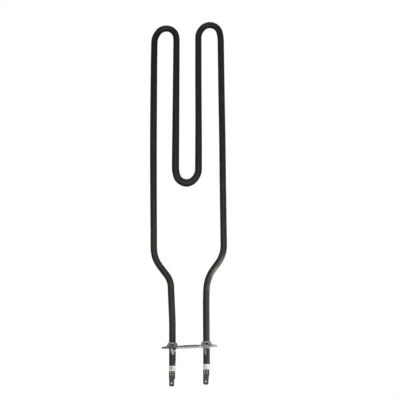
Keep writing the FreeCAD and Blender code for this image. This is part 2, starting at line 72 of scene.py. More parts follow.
forward = Vector((0, math.cos(CAMERA_PITCH), math.sin(CAMERA_PITCH)))
level_up = Vector((0, -math.sin(CAMERA_PITCH), math.cos(CAMERA_PITCH)))
upright = Matrix.Rotation(CAMERA_ROLL, 3, forward) @ level_up
sideways = forward.cross(upright)

camera_data = bpy.data.cameras.new("camera")
camera_data.sensor_width = SENSOR
camera_data.lens = FOCAL_IN_PIXELS / FRAME_PIXELS * SENSOR
camera = bpy.data.objects.new("camera", camera_data)
turned = Matrix((sideways, upright, -forward)).transposed().to_4x4()
camera.matrix_world = Matrix.Translation(CAMERA_PLACE) @ turned
bpy.context.collection.objects.link(camera)
bpy.context.scene.camera = camera
bpy.context.scene.view_settings.view_transform = "Standard"
print("lens:", round(camera_data.lens, 1), "mm, distance:", round(CAMERA_PLACE.length, 2), "m")

# %% [markdown]
# ## Shader maths as sums
#
# A material is a tree of nodes. Wiring it by hand hides what it computes, so one small class wraps a
# socket, and Python's own signs add the Math nodes: `mask * (1 - wear)` is then two nodes. Two more
# methods make the soft masks that the marks on this element need: a ramp from 0 to 1, and a stretch
# between two limits.

# %% Sockets that can be added up


class Value:
    """A number or a colour that varies over a surface: the output socket of a node."""

    def __init__(self, tree, socket):
        self.tree = tree
        self.socket = socket

    def math(self, operation, *others):
        inputs = dict(enumerate((self, *others)))
        return self.tree.node("ShaderNodeMath", {"operation": operation}, inputs)

    def __add__(self, other):
        return self.math("ADD", other)

    def __sub__(self, other):
        return self.math("SUBTRACT", other)

    def __rsub__(self, other):
        return self.tree.node("ShaderNodeMath", {"operation": "SUBTRACT"}, {0: other, 1: self})

    def __mul__(self, other):
        return self.math("MULTIPLY", other)

    def __abs__(self):
        return self.math("ABSOLUTE")

    __radd__ = __add__
    __rmul__ = __mul__

    def ramp(self, zero, one):
        """0 at one value and 1 at the other, straight between them."""
        limits = {"From Min": zero, "From Max": one, "To Min": 0.0, "To Max": 1.0}
        return self.tree.node("ShaderNodeMapRange", {"clamp": True}, {"Value": self, **limits}, "Result")

    def inside(self, low, high, soft):
        """1 between two limits, falling to 0 over the soft width outside them."""
        return self.ramp(low - soft, low) * self.ramp(high + soft, high)


def highest(*masks):
    """Several masks as one. Where they overlap, the strongest shows."""
    top = masks[0]
    for mask in masks[1:]:
        top = top.math("MAXIMUM", mask)
    return top


print("methods of a value:", [name for name in vars(Value) if not name.startswith("_")])

# %% [markdown]
# Materials and the world both hold a tree, so one class adds nodes to either. It takes a node's type, its
# settings and what goes into its sockets, and gives back the value that comes out.

# %% A tree of nodes


class Tree:
    """The nodes of a material or of the world."""

    def __init__(self, owner):
        owner.use_nodes = True
        self.nodes = owner.node_tree.nodes
        self.links = owner.node_tree.links

    def node(self, kind, settings, inputs, output=0):
        """Any node: its settings come first, then the values or links of its sockets."""
        node = self.nodes.new(kind)
        for setting, choice in settings.items():
            setattr(node, setting, choice)
        for socket, given in inputs.items():
            if isinstance(given, Value):
                self.links.new(given.socket, node.inputs[socket])
            else:
                node.inputs[socket].default_value = given
        return Value(self, node.outputs[output])

    def outputs(self, value):
        """Every output of the node that a value comes from, by name."""
        return {output.name: Value(self, output) for output in value.socket.node.outputs}

    def end_in(self, value, last_node):
        """Wire a value to the first input of the node that the tree ends in."""
        self.links.new(value.socket, self.nodes[last_node].inputs[0])


print("methods of a tree:", [name for name in vars(Tree) if not name.startswith("_")])

# %% [markdown]
# A finish is a material with one Principled surface. Its patterns read Object coordinates, which here are
# real lengths in the frame of the construction model, so a mark is placed by its millimetres.

# %% A finish
MIX_FIRST, MIX_SECOND, MIX_RESULT = 6, 7, 2
NOISE_ROUGHNESS = 0.55


class Finish(Tree):
    """A material with one Principled surface, and the nodes that vary it."""

    def __init__(self, name, **constants):
        self.material = bpy.data.materials.new(name)
        super().__init__(self.material)
        self.surface = self.nodes["Principled BSDF"]
        self.place = self.node("ShaderNodeTexCoord", {}, {}, "Object")
        for socket, constant in constants.items():
            self.surface.inputs[socket.replace("_", " ")].default_value = constant

    def parts(self, vector):
        """The three numbers of a vector."""
        split = self.outputs(self.node("ShaderNodeSeparateXYZ", {}, {"Vector": vector}))
        return [split[axis] for axis in "XYZ"]

    def axes(self):
        """The place on the piece, as three numbers in millimetres."""
        inputs = {0: self.place, "Scale": 1 / MM}
        return self.parts(self.node("ShaderNodeVectorMath", {"operation": "SCALE"}, inputs))

    def noise(self, size, seed, detail=4):
        """Cloudy noise from 0 to 1 with blotches of about this size in millimetres."""
        scale = 1 / (size * MM)
        inputs = {"Vector": self.place, "Scale": (scale, scale, scale), "Location": (seed, seed, seed)}
        mapped = self.node("ShaderNodeMapping", {}, inputs)
        inputs = {"Vector": mapped, "Scale": 1.0, "Detail": detail, "Roughness": NOISE_ROUGHNESS}
        return self.node("ShaderNodeTexNoise", {"noise_dimensions": "3D"}, inputs)

    def mix(self, factor, first, second):
        """From one colour to another. Each is three numbers or a mix made before."""
        inputs = {0: factor}
        for socket, colour in ((MIX_FIRST, first), (MIX_SECOND, second)):
            inputs[socket] = colour if isinstance(colour, Value) else (*colour, 1)
        return self.node("ShaderNodeMix", {"data_type": "RGBA"}, inputs, MIX_RESULT)

    def feed(self, socket, value):
        self.links.new(value.socket, self.surface.inputs[socket])

    def bump(self, height, depth):
        """Raise the surface by the height, which runs from 0 to 1, times a depth in millimetres."""
        inputs = {"Strength": 1.0, "Distance": depth * MM, "Height": height}
        self.feed("Normal", self.node("ShaderNodeBump", {}, inputs, "Normal"))


print("methods of a finish:", [name for name in vars(Finish) if not name.startswith("_")])

# %% [markdown]
# Colours are noted as a picture shows them, from 0 to 255, because that is how they are read off a
# sample. A shader counts in linear light, so one function turns them.

# %% Colours


def srgb(red, green, blue):
    """A colour from 0 to 255, turned into linear values by the standard curve."""
    def linear(channel):
        part = channel / 255
        return part / 12.92 if part <= 0.04045 else ((part + 0.055) / 1.055) ** 2.4
    return tuple(linear(channel) for channel in (red, green, blue))


print("mid grey in linear light:", round(srgb(128, 128, 128)[0], 3))

# %% [markdown]
# ## The stage
#
# The ground and the background are one pale colour. A floor in plain lamp light would turn grey, and more
# light would bleach the element. So the floor glows for the rays that look at it: the camera's own, and
# those that come off metal or through glass. To every other ray it is a plain matt floor, and the shadow
# stays on it.

# %% Floor
FLOOR_HEIGHT = -420 * MM
FLOOR_HALF = 12.0
FLOOR_GLOW = 0.82
FLOOR_PAINT = (0.86, 0.86, 0.86, 1)


def seen_rays(tree):
    """1 for the rays that look at a thing: straight, in a reflection, or through glass."""
    rays = tree.outputs(tree.node("ShaderNodeLightPath", {}, {}))
    return highest(rays["Is Camera Ray"], rays["Is Glossy Ray"], rays["Is Transmission Ray"])


def pale_floor():
    """A matt floor that looks nearly white. Its own light leaves a part for the shadow to darken."""
    finish = Finish("pale_floor", Roughness=0.9, Base_Color=FLOOR_PAINT)
    matt = Value(finish, finish.surface.outputs[0])
    glow = finish.node("ShaderNodeEmission", {}, {})
    share = seen_rays(finish) * FLOOR_GLOW
    blend = finish.node("ShaderNodeMixShader", {}, {0: share, 1: matt, 2: glow})
    finish.end_in(blend, "Material Output")
    return finish.material


floor_mesh = bpy.data.meshes.new("floor")
build = bmesh.new()
bmesh.ops.create_grid(build, x_segments=1, y_segments=1, size=FLOOR_HALF)
bmesh.ops.translate(build, verts=build.verts, vec=(0, 0, FLOOR_HEIGHT))
build.to_mesh(floor_mesh)
build.free()
floor = bpy.data.objects.new("floor", floor_mesh)
floor.data.materials.append(pale_floor())
bpy.context.collection.objects.link(floor)
print("floor at", round(FLOOR_HEIGHT, 3), "m")

# %% [markdown]
# The world is the backdrop. A wall would need light of its own, so the world does its work: it is pure
# white where the camera or a reflection looks, and a dim even sky for every other ray.

# %% World
WORLD_LIGHT = 0.12
SHOWN_WHITE = 1.0
WHITE = (1, 1, 1, 1)


def studio_world():
    world = bpy.data.worlds.new("studio")
    tree = Tree(world)
    backdrop = tree.nodes["Background"]
    backdrop.inputs["Color"].default_value = WHITE
    backdrop.inputs["Strength"].default_value = SHOWN_WHITE
    shown = Value(tree, backdrop.outputs[0])
    sky = tree.node("ShaderNodeBackground", {}, {"Color": WHITE, "Strength": WORLD_LIGHT})
    blend = tree.node("ShaderNodeMixShader", {}, {0: seen_rays(tree), 1: sky, 2: shown})
    tree.end_in(blend, "World Output")
    return world


bpy.context.scene.world = studio_world()
print("light of the world:", WORLD_LIGHT)

# %% [markdown]
# Five soft lamps light the element. The front strip draws the long sheen down each leg, the top and back
# boxes part the edges from the ground, and two low lamps reach the plate's lower face and the neck. The
# low ones would show as bright panels in views from other sides, so the camera doesn't see them.

# %% Lamps
MIDDLE = (0, 0, 0.19)
NECK = (0.02, 0, 0.05)
TAILS = (0, 0, 0.05)


def add_lamp(name, place, target, size, watts):
    data = bpy.data.lights.new(name, "AREA")
    data.shape = "RECTANGLE"
    data.size, data.size_y = size
    data.energy = watts
    lamp = bpy.data.objects.new(name, data)
    lamp.location = place
    lamp.rotation_euler = (Vector(target) - Vector(place)).to_track_quat("-Z", "Y").to_euler()
    bpy.context.collection.objects.link(lamp)
    return lamp


add_lamp("front_strip", (0.15, -2.2, 0.35), MIDDLE, size=(1.3, 0.5), watts=20)
add_lamp("top_soft_box", (0.0, -0.5, 1.7), MIDDLE, size=(1.2, 1.2), watts=7)
add_lamp("back_soft_box", (-0.2, 2.2, 0.1), MIDDLE, size=(1.4, 1.4), watts=20)
low_strip = add_lamp("low_front_strip", (0.15, -1.9, -0.25), TAILS, size=(0.9, 0.2), watts=9)
low_box = add_lamp("low_right_soft_box", (0.42, -0.08, -0.04), NECK, size=(0.25, 0.25), watts=1.3)
low_strip.visible_camera = False
low_box.visible_camera = False

# %% [markdown]
# ## Copies to work on
#
# A piece of the construction model is a mesh of loose triangles, and it must stay as it is. Where the real
# piece has marks that the drawing leaves out, a copy takes its place: its triangles are merged into one
# skin, its shape is worked on, and at the end the piece it stands for is hidden.

# %% Copy and finish a piece
SHARP_ANGLE = math.radians(35)
MERGE_DISTANCE = 0.002 * MM


def merged_copy(node, name):
    """A new mesh like the node's, with its loose triangles joined."""
    build = bmesh.new()
    build.from_mesh(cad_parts[node].data)
    bmesh.ops.remove_doubles(build, verts=build.verts, dist=MERGE_DISTANCE)
    return bpy.data.meshes.new(name), build


def finish_piece(name, mesh, build, material, node):
    """Turn the work into an object that stands for its node and rides on the frame."""
    for edge in build.edges:
        edge.smooth = len(edge.link_faces) == 2 and edge.calc_face_angle() < SHARP_ANGLE
    build.to_mesh(mesh)
    build.free()
    mesh.materials.append(material)
    mesh.shade_smooth()
    piece = bpy.data.objects.new(name, mesh)
    piece.modifiers.new("flat_faces_stay_flat", "WEIGHTED_NORMAL").keep_sharp = True
    bpy.context.collection.objects.link(piece)
    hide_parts(node)
    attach(piece, "root")
    print(name, "has", len(mesh.vertices), "vertices")


print("edges stay sharp above", round(math.degrees(SHARP_ANGLE)), "degrees")

# %% [markdown]
# ## The middle bend
#
# The tube was bent cold. Where the middle bend was closed last, it was pressed flatter from front to back
# and grew wider in the plane of the loops, most at the bottom and more on the left than on the right. A
# lattice could squeeze it, but it would also move the bend. So each vertex is moved on its own: away from
# the tube's centre line in the plane, and towards it from front to back. The change fades out slowly up
# the legs, so they meet the round tube without a step.

# %% Middle bend
BEND_CENTRE = (-2.76 * MM, 223.7 * MM)
BEND_RADIUS = 13.2 * MM
BEND_WIDER = 0.19
BEND_WIDER_LEFT = 0.12
BEND_WIDER_RIGHT = 0.06
BEND_FLATTER = 0.10
BEND_FADE = 100 * MM
TUBE_DIAMETER = 8.5


def eased(part):
    """From 0 to 1 with a soft start and a soft end."""
    part = min(max(part, 0.0), 1.0)
    return part * part * (3 - 2 * part)


def flatten_bend(vertex):
    """Move one vertex of the bend. Above it, its legs stand about one radius from its centre."""
    across, up = vertex.co.x - BEND_CENTRE[0], vertex.co.z - BEND_CENTRE[1]
    if up < 0:
        middle = Vector((across, up)) * (BEND_RADIUS / math.hypot(across, up))
    else:
        middle = Vector((math.copysign(BEND_RADIUS, across), up))
    share = 1 - eased(up / BEND_FADE)
    side = BEND_WIDER_RIGHT if across > 0 else BEND_WIDER_LEFT
    wider = BEND_WIDER + (side - BEND_WIDER) * eased(abs(across) / BEND_RADIUS)
    offset = (Vector((across, up)) - middle) * (1 + wider * share)
    vertex.co.x = BEND_CENTRE[0] + middle.x + offset.x
    vertex.co.z = BEND_CENTRE[1] + middle.y + offset.y
    vertex.co.y *= 1 - BEND_FLATTER * share


def belongs_to_bend(vertex):
    across, up = abs(vertex.co.x - BEND_CENTRE[0]), vertex.co.z - BEND_CENTRE[1]
    return across < 2 * BEND_RADIUS and -2 * BEND_RADIUS < up < BEND_FADE


print("the middle bend is up to", round(TUBE_DIAMETER * (1 + BEND_WIDER), 1), "mm wide")

# %% [markdown]
# ## The legs
#
# Long hairpins are never quite straight: these were set by hand after bending, and bow by up to half a
# millimetre. A straight leg of the mesh has no vertices between its ends, so moving its ends would tilt
# the whole leg. Rings of vertices are cut into it first, so that a bow stays where it belongs.

# %% Rings on the legs
LEG_SPAN = {"far_left": (-60, -32), "inner_right": (0, 26), "far_right": (28, 60), "right_neck": (8, 40)}
AXIS_HEIGHTS = (196, 345)
RING_HEIGHTS = {
    "far_left": (AXIS_HEIGHTS[0], *range(210, 340, 13), AXIS_HEIGHTS[1], 358, 371),
    "inner_right": range(240, 385, 16),
    "far_right": range(210, 331, 20),
    "right_neck": (15, 30, 44, 57),
}
RING_TOLERANCE = 0.01


def cut_rings(build, leg, heights):
    """Rings of vertices on a straight leg, so that it can be bowed."""
    low, high = LEG_SPAN[leg]
    for height in heights:
        faces = [face for face in build.faces if low < face.calc_center_median().x / MM < high]
        edges = {edge for face in faces for edge in face.edges}
        corners = {corner for face in faces for corner in face.verts}
        bmesh.ops.bisect_plane(build, geom=[*corners, *edges, *faces], plane_co=(0, 0, height * MM),
                               plane_no=(0, 0, 1))


def leg_centre(build, leg, height):
    """Where a leg's centre line crosses a height, measured on the ring that was cut there."""
    low, high = LEG_SPAN[leg]
    ring = [vertex.co.x / MM for vertex in build.verts
            if abs(vertex.co.z / MM - height) < RING_TOLERANCE and low < vertex.co.x / MM < high]
    return (min(ring) + max(ring)) / 2


print("rings cut:", {leg: len(heights) for leg, heights in RING_HEIGHTS.items()})

# %% [markdown]
# Each bow is a row: the leg, the middle height, half the length and the shift, all in millimetres. It is
# a swell, which starts and ends without a kink. The far left leg is also a little wider and flatter at
# half height, about its own leaning centre line.

# %% Legs set by hand
HAND_SET = (
    ("far_left", 272, 125, -0.5),
    ("far_left", 137, 28, 0.4),
    ("far_left", 390, 19, 0.42),
    ("far_left", 114, 14, -0.35),
    ("inner_right", 288, 68, 0.22),
    ("far_right", 270, 60, 0.18),
    ("right_neck", 74, 17, 0.4),
)
SQUEEZE_MIDDLE = 285
SQUEEZE_HALF = 150
LEG_WIDER = 0.06
LEG_FLATTER = 0.05


def swell(height, middle, half):
    """1 at the middle of a stretch, falling smoothly to 0 at half its length each way."""
    part = (height - middle) / half
    return (1 - part * part) ** 2 if abs(part) < 1 else 0.0


def set_by_hand(build):
    for leg, heights in RING_HEIGHTS.items():
        cut_rings(build, leg, heights)
    first, last = [leg_centre(build, "far_left", height) for height in AXIS_HEIGHTS]
    slope = (last - first) / (AXIS_HEIGHTS[1] - AXIS_HEIGHTS[0])
    for vertex in build.verts:
        x, _, z = vertex.co / MM
        shift = sum(amount * swell(z, middle, half) for leg, middle, half, amount in HAND_SET
                    if LEG_SPAN[leg][0] < x < LEG_SPAN[leg][1])
        squeezed = swell(z, SQUEEZE_MIDDLE, SQUEEZE_HALF) if x < LEG_SPAN["far_left"][1] else 0.0
        axis = first + slope * (z - AXIS_HEIGHTS[0])
        vertex.co.x += (shift + (x - axis) * LEG_WIDER * squeezed) * MM
        vertex.co.y *= 1 - LEG_FLATTER * squeezed


print("bows set by hand:", len(HAND_SET))

# %% [markdown]
# The bows and the flattened bend make one bent copy. It is a function of its own, because what runs
# inside the tube has to be bent in the same way later.

# %% The bent tube


def bent_copy(node, name):
    """A copy of a node of the tube, bowed and flattened as the tube is."""
    mesh, build = merged_copy(node, name)
    set_by_hand(build)
    for vertex in build.verts:
        if belongs_to_bend(vertex):
            flatten_bend(vertex)
    return mesh, build


tube_mesh, tube_build = bent_copy("sheath", "bent_tube")
print("the bent tube has", len(tube_build.faces), "faces")

# %% [markdown]
# ## Marks along a line
#
# The worn, sooty and splashed places on this element all lie along short lines. A painted mask would need
# a picture. A distance from a line needs none, and noise added to that distance makes its edge ragged.

# %% Bands
FULL_SHARE = 1.1


def band(x, z, start, end, half_width, ragged, soft, fade):
    """1 along a line from start to end, falling to 0 past its ragged half width and past its ends.
    Soft is a share of the half width, fade a length beyond each end."""
    (x0, z0), (x1, z1) = start, end
    length = math.hypot(x1 - x0, z1 - z0)
    along_x, along_z = (x1 - x0) / length, (z1 - z0) / length
    along = (x - x0) * along_x + (z - z0) * along_z
    across = (x - x0) * along_z - (z - z0) * along_x
    edge = abs(across) + ragged * half_width
    beside = edge.ramp(half_width * (1 + soft), half_width * (FULL_SHARE - soft))
    return beside * along.inside(0, length, fade)


def bands(x, z, rows, noise, soft):
    """Several bands as one mask. A row: start, end, half width, raggedness, fade, strength."""
    return highest(*[band(x, z, start, end, half_width, noise * ragged, soft, fade) * strength
                     for start, end, half_width, ragged, fade, strength in rows])


print("a band is full inside", FULL_SHARE, "less its softness, times its half width")

# %% [markdown]
# ## The tube's oxide
#
# The steel was annealed and has been hot: a thin dark oxide, nearly black over the heated loops, with the
# most soot at the top left. At the neck, where the tube stays cooler, it is a little paler. The outside of
# the right neck and the stem below it carry a painted highlight, brightest in the middle of the S. One
# flat colour would look like paint, so clouds of worn oxide drift over all of it.

# %% Oxide
HOT_OXIDE = srgb(24, 25, 22)
COOL_OXIDE = srgb(37, 38, 33)
WORN_OXIDE = srgb(60, 60, 54)
# This colour serves both the soot at the top left and the painted shade streak above the left collar.
SOOT_AND_SHADE = srgb(14, 14, 12)
# Painted highlight: bright bands along the right side of the neck and the stem below it, with a brighter
# peak in the middle of the S.
NECK_HIGHLIGHT = srgb(112, 112, 109)
NECK_HIGHLIGHT_PEAK = srgb(136, 135, 131)
HIGHLIGHT_BANDS = (
    ((43.3, 108.2), (33.0, 91.7), 2.8, 0.25, 12, 1.0),
    ((31.2, 88.0), (26.4, 76.0), 2.6, 0.25, 9, 0.7),
    ((24.6, 72.0), (24.3, 8.0), 1.9, 0.25, 5, 0.18),
)
# Painted shade: a dark streak down the right side of the left tail, just above its collar.
COLLAR_SHADE_STREAK = (((-18.2, 19), (-19.0, 6), 1.5, 0.5, 0.8, 1.0),)


def heated_oxide(finish, x, z, cloud):
    """Nearly black over the loops, paler down to the neck, and sootiest at the top left."""
    oxide = finish.mix(z.ramp(235, 110), HOT_OXIDE, COOL_OXIDE)
    oxide = finish.mix(z.ramp(315, 375) * x.ramp(5, -40), oxide, SOOT_AND_SHADE)
    return finish.mix(cloud.ramp(0.55, 0.9) * 0.5, oxide, WORN_OXIDE)


def painted_neck_highlight(finish, oxide, x, z, cloud):
    """The oxide with a painted highlight along the right neck and stem, brightest in the middle of the S.
    """
    sheen_mask = bands(x, z, HIGHLIGHT_BANDS, cloud, soft=1.0) * x.ramp(-1, 1)
    oxide = finish.mix(sheen_mask, oxide, NECK_HIGHLIGHT)
    return finish.mix(sheen_mask * z.inside(89.5, 98, 4), oxide, NECK_HIGHLIGHT_PEAK)


# The rubs counted here are the bands of painted highlight.
print("rubs on the neck and stem:", len(HIGHLIGHT_BANDS))

# %% [markdown]
# ## The tails
#
# Below the plate the tails stand outside the hot air and are bluish bare steel, browner on the left. Each
# has marks of its own: splashes of pale metal under the plate, where the collars were pressed on, a
# bright ring that the right collar left, and a pale chip on the left tail's lower right edge. The
# splashes are blots of no clear shape, so their bands are made very ragged.

# %% Tails
TAIL_STEEL = srgb(41, 44, 46)
BROWN_STEEL = srgb(38, 39, 31)
CLOUDY_STEEL = srgb(52, 55, 52)
SPLASH = srgb(194, 198, 205)
CHIP = srgb(144, 148, 148)
SPLASHES = (
    ((-22.4, -1.2), (-20.8, -8.0), 3.2, 1.5, 2.0, 1.0),
    ((-20.4, -4.2), (-17.6, -4.8), 2.1, 1.3, 1.2, 1.0),
    ((18.8, -0.6), (20.2, -8.4), 1.3, 1.3, 1.5, 0.75),
)
CHIP_HEIGHT = -15.5
CHIP_LEAN = -0.22


def tail_steel(finish, left, cloud):
    steel = finish.mix(left, TAIL_STEEL, BROWN_STEEL)
    return finish.mix(cloud.ramp(0.45, 0.8) * 0.6, steel, CLOUDY_STEEL)


def splash_mask(finish, x, z, rag, cloud):
    """The blots under the plate, and the ring under the right collar."""
    blot = finish.noise(2.6, seed=11.0, detail=5)
    ring = (z + rag * 0.8).inside(-0.7, 4, 0.8) * x.ramp(-1, 1) * 0.55
    return highest(bands(x, z, SPLASHES, blot, soft=0.4), ring) * cloud.ramp(0.2, 0.5)


def chip_mask(x, z, left, rag):
    """1 right of a leaning, ragged edge, and below the height at which the chip starts."""
    edge = x + (z - CHIP_HEIGHT) * CHIP_LEAN + rag * 1.2
    return edge.ramp(-16.8, -16.2) * z.ramp(-15.0, -16.5) * left


print("splashes under the plate:", len(SPLASHES))

# %% [markdown]
# The finish puts these together. The oxide shows no clear reflection, so its specular level is low. The
# painted shade streak on the left tail above its collar, the splashes and the chip are on the front only,
# because nothing tells what the back is like.

# %% The tube's finish


def dark_oxide():
    finish = Finish("dark_oxide", Specular_IOR_Level=0.1)
    x, y, z = finish.axes()
    cloud = finish.noise(16, seed=2.0)
    grain = finish.noise(0.8, seed=5.0)
    rag = finish.noise(1.6, seed=7.0, detail=3)
    front = y.ramp(0.5, -0.5)
    left = x.ramp(1, -1)
    oxide = painted_neck_highlight(finish, heated_oxide(finish, x, z, cloud), x, z, cloud)
    # The streak here is painted shade on the left tail's right side.
    oxide = finish.mix(bands(x, z, COLLAR_SHADE_STREAK, rag, soft=0.6) * front, oxide, SOOT_AND_SHADE)
    colour = finish.mix(z.ramp(0.5, -1.5), oxide, tail_steel(finish, left, cloud))
    splash = splash_mask(finish, x, z, rag, cloud) * front
    colour = finish.mix(splash, colour, SPLASH)
    colour = finish.mix(chip_mask(x, z, left, rag) * front, colour, CHIP)
    finish.feed("Base Color", colour)
    finish.feed("Roughness", 0.3 + grain * 0.12)
    finish.bump(grain * 0.6 + splash, 0.05)
    return finish.material


finish_piece("bent_tube", tube_mesh, tube_build, dark_oxide(), "sheath")

# %% [markdown]
# ## The plate's sheet
#
# The plate is one piece of zinc-plated sheet. Its broad upper face is bright; its lower face is painted
# with shade, darker to the left and lighter to the right. Its sheared rim is painted dark as shade, with
# dusty patches, apart from its pale right end, and the lower front rim from the right collar to that end
# is painted with a bright sheen. The mesh has one material, so the direction in which a face looks tells
# face from rim: the mask is the upright part of the normal.

# %% Sheet colours
PLATE_SLOPE = math.tan(math.radians(1.9))
# Painted shade: the rim colours are darkened as the rim's shade, with dusty patches.
RIM_SHADE_ZINC, DUSTY_RIM_SHADE_ZINC = srgb(46, 44, 39), srgb(62, 59, 53)
BRIGHT_ZINC, CLOUDY_ZINC = srgb(208, 208, 206), srgb(186, 185, 181)
SHADED_ZINC, LIT_ZINC = srgb(128, 127, 123), srgb(160, 159, 156)
PALE_END = srgb(142, 141, 137)
# Painted sheen on the lower front rim, from the right collar to the right end.
PAINTED_RIM_SHEEN = srgb(170, 170, 167)


def sheet_colour(finish, x, height, facing_up, broad, cloud):
    """The colour of the flat sheet and its rim, before the collars' marks."""
    # The rim is painted dark as shade, mottled with dust.
    rim = finish.mix(cloud.ramp(0.35, 0.7), RIM_SHADE_ZINC, DUSTY_RIM_SHADE_ZINC)
    rim = finish.mix(x.ramp(29, 33), rim, PALE_END)
    above = finish.mix(cloud.ramp(0.4, 0.7), BRIGHT_ZINC, CLOUDY_ZINC)
    # Painted shade on the lower face, darker to the left and lighter to the right.
    lower_face_shade = finish.mix(x.ramp(-30, 20), SHADED_ZINC, LIT_ZINC)
    face = finish.mix(facing_up.ramp(-0.4, -0.8), above, lower_face_shade)
    # A painted sheen along the lower front rim on the right.
    rim_sheen = height.ramp(0.2, -0.1) * x.ramp(9, 13) * (1 - broad)
    return finish.mix(rim_sheen, finish.mix(broad, rim, face), PAINTED_RIM_SHEEN)


print("the plate leans by", round(math.degrees(math.atan(PLATE_SLOPE)), 1), "degrees")

# %% [markdown]
# ## The collars' marks
#
# Each collar was staked onto its tube by punches. A band at its lip is paler, a painted highlight sits on
# the cone beside each punch mark, and the mark's hollow is painted dark as shade. The height above the
# leaning sheet and the distance from the tail's axis find all of these. The left collar's right flank is
# painted nearly black as shade.

# %% Collar marks
TAIL_X = 21.25
LIP_HEIGHT = 6.35
STAKE_HEIGHT = 2.85
HIGHLIGHT_HEIGHT = 3.15
# A paler, speckled band at the collar's lip.
PALE_LIP_BAND = srgb(138, 135, 128)
# Painted highlight on the collar's cone beside each punch mark.
PAINTED_LUMP_HIGHLIGHT = srgb(168, 165, 158)
# Painted shade in the hollow of each punch mark.
PUNCH_SHADE = srgb(26, 24, 20)
# Painted shade on the left collar's right flank.
FLANK_SHADE = srgb(30, 28, 25)


def collar_marks(finish, colour, x, height, facing_right, speck):
    from_tail = abs(abs(x) - TAIL_X)
    at_collar = from_tail.ramp(8.5, 7.0)
    lip = height.ramp(LIP_HEIGHT - 1.9, LIP_HEIGHT - 1.2) * at_collar * speck.ramp(0.3, 0.5)
    # Painted highlights beside the punch marks.
    lump_highlights = from_tail.inside(3.0, 5.5, 0.8) * abs(height - HIGHLIGHT_HEIGHT).ramp(1.6, 0.6) * 0.6
    # The hollow of the punch mark is painted dark as shade.
    punch_shade = from_tail.ramp(2.5, 1.9) * abs(height - STAKE_HEIGHT).ramp(1.5, 0.9) * height.ramp(1.2, 1.8)
    # Faces turned to the right on the left collar are painted dark as shade.
    flank_shade = facing_right.ramp(0.5, 0.8) * x.ramp(-15.5, -16) * at_collar * height.ramp(1.7, 2.2) * 0.7
    colour = finish.mix(lip, colour, PALE_LIP_BAND)
    colour = finish.mix(lump_highlights, colour, PAINTED_LUMP_HIGHLIGHT)
    colour = finish.mix(punch_shade, colour, PUNCH_SHADE)
    return finish.mix(flank_shade, colour, FLANK_SHADE)


print("punch marks", STAKE_HEIGHT, "mm above the sheet's lower face")

# %% [markdown]
# The whole finish adds a thin grime of specks, stronger on the rim than on the faces, which are wiped
# clean. It is less than half metallic, because old zinc has a thin dull coat that scatters light as paint
# does.

# %% The plate's finish
GRIME = srgb(78, 74, 62)


def zinc_sheet():
    finish = Finish("zinc_sheet", Metallic=0.4)
    x, _, z = finish.axes()
    facing_right, _, facing_up = finish.parts(finish.node("ShaderNodeNewGeometry", {}, {}, "Normal"))
    height = z - x * PLATE_SLOPE
    cloud = finish.noise(3.2, seed=1.0)
    speck = finish.noise(0.9, seed=4.0)
    broad = abs(facing_up).ramp(0.55, 0.9)
    colour = sheet_colour(finish, x, height, facing_up, broad, cloud)
    colour = collar_marks(finish, colour, x, height, facing_right, speck)
    grime = speck.ramp(0.62, 0.72) * 0.3 * (1 - broad * 0.7)
    finish.feed("Base Color", finish.mix(grime, colour, GRIME))
    finish.feed("Roughness", 0.42 + cloud * 0.2)
    finish.bump(speck * (1 - broad * 0.9), 0.05)
    return finish.material


zinc = zinc_sheet()
print("the plate's finish has", len(zinc.node_tree.nodes), "nodes")

# %% [markdown]
# ## The plate's edges
#
# A drawing has knife edges, and no sheet has. Once the triangles that lie in one plane are dissolved into
# whole faces, every sharp edge can be rounded by one bevel. The bevel is narrow, because the sheet is
# thin.

# %% Rounded edges
FLAT_ANGLE = math.radians(1)
PLATE_ROUNDING = 0.2 * MM


def softened_copy(node, name, width):
    """A merged copy of the node whose sharp edges are rounded over by the width."""
    mesh, build = merged_copy(node, name)
    bmesh.ops.dissolve_limit(build, angle_limit=FLAT_ANGLE, verts=build.verts, edges=build.edges)
    sharp = [edge for edge in build.edges
             if len(edge.link_faces) == 2 and edge.calc_face_angle() > SHARP_ANGLE]
    bmesh.ops.bevel(build, geom=sharp, offset=width, offset_type="OFFSET", segments=2, profile=0.5,
                    material=-1, affect="EDGES", clamp_overlap=True)
    bmesh.ops.recalc_face_normals(build, faces=build.faces)
    return mesh, build


plate_mesh, plate_build = softened_copy("mounting_plate", "pressed_plate", PLATE_ROUNDING)
print("the plate has", len(plate_build.faces), "faces with its edges rounded")

# %% [markdown]
# Shearing left a burr along the front of the sheet's lower rim. The rim's own vertices are pulled down,
# which keeps the skin closed.

# %% Burr
PLATE_HALF_LENGTH = 34.8
PLATE_HALF_DEPTH = 13.5
RIM_WIDTH = 0.35
BURR_HEIGHT = 0.3


def on_lower_front_rim(vertex):
    x, y, z = vertex.co / MM
    beyond_straight = max(abs(x) - (PLATE_HALF_LENGTH - PLATE_HALF_DEPTH), 0)
    outside = math.hypot(beyond_straight, y) > PLATE_HALF_DEPTH - RIM_WIDTH
    return y < 0 and outside and z - x * PLATE_SLOPE < RIM_WIDTH


burr = [vertex for vertex in plate_build.verts if on_lower_front_rim(vertex)]
for vertex in burr:
    vertex.co.z -= BURR_HEIGHT * MM
print("vertices on the burr:", len(burr))

# %% [markdown]
# The upper front rim bows up a little, from just left of the screw hole to the right collar. A long
# straight rim has no vertices there, so four cuts across the plate make the corners of the bow.

# %% Bowed rim
SHEET = 1.5
BOW_START, BOW_TOP_START, BOW_TOP_END, BOW_END = -7.5, -6.0, 8.0, 14.0
BOW_RISE = 0.4

